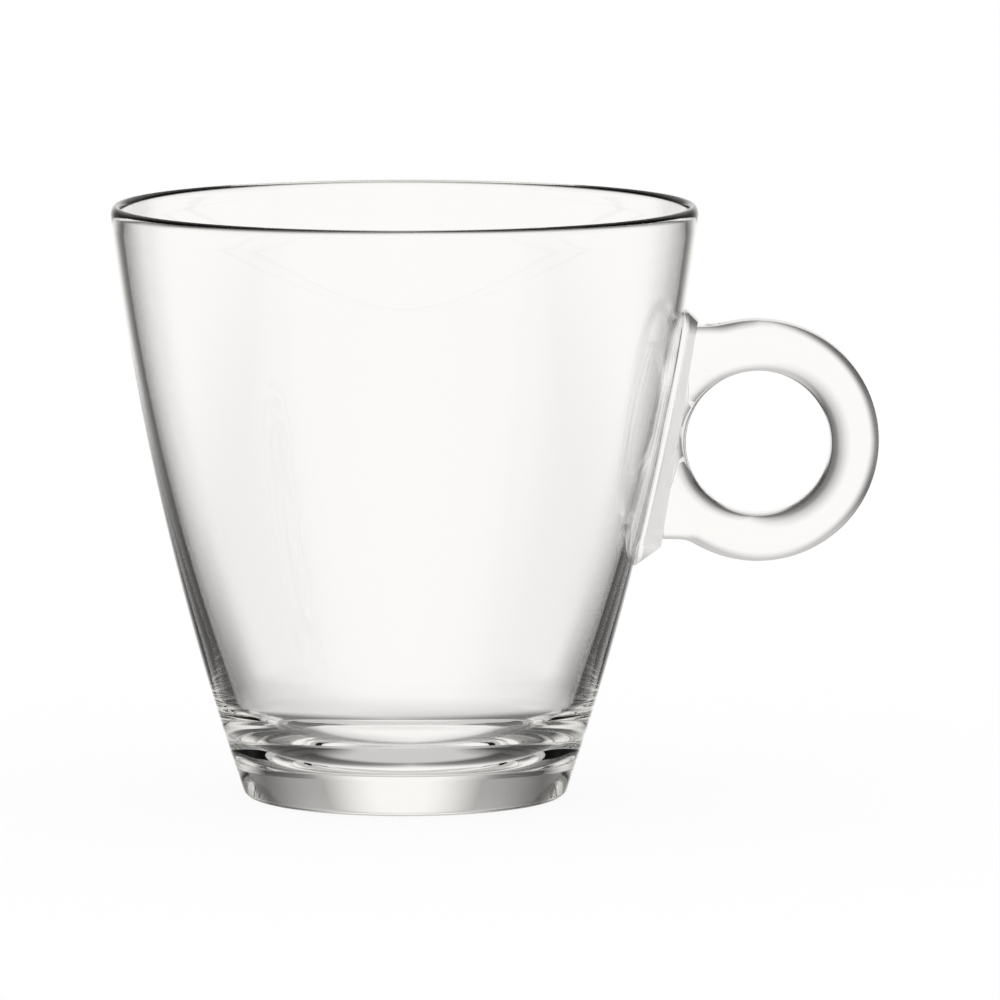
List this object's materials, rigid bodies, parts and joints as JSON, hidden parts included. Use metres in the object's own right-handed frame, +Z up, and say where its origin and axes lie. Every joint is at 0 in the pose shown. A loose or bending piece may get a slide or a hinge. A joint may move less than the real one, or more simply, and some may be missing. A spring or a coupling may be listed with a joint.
{
  "type": "glass cup",
  "caption": "Clear glass cup that flares from a thick solid base to a thin rounded rim, with a round finger ring fused to its wall as a handle.",
  "frame": {"origin": "on the surface that the cup stands on, under the middle of the whole cup's outline, handle included", "axes": "+Z up along the cup's axis, +X towards the handle, +Y away from the pictured side"},
  "size_m": [0.1072, 0.082, 0.083],
  "materials": {
    "clear_glass": "pressed and fire-polished, clear"
  },
  "bodies": {
    "root": {"cup_body": "clear_glass", "ring_handle": "clear_glass"}
  },
  "joints": []
}
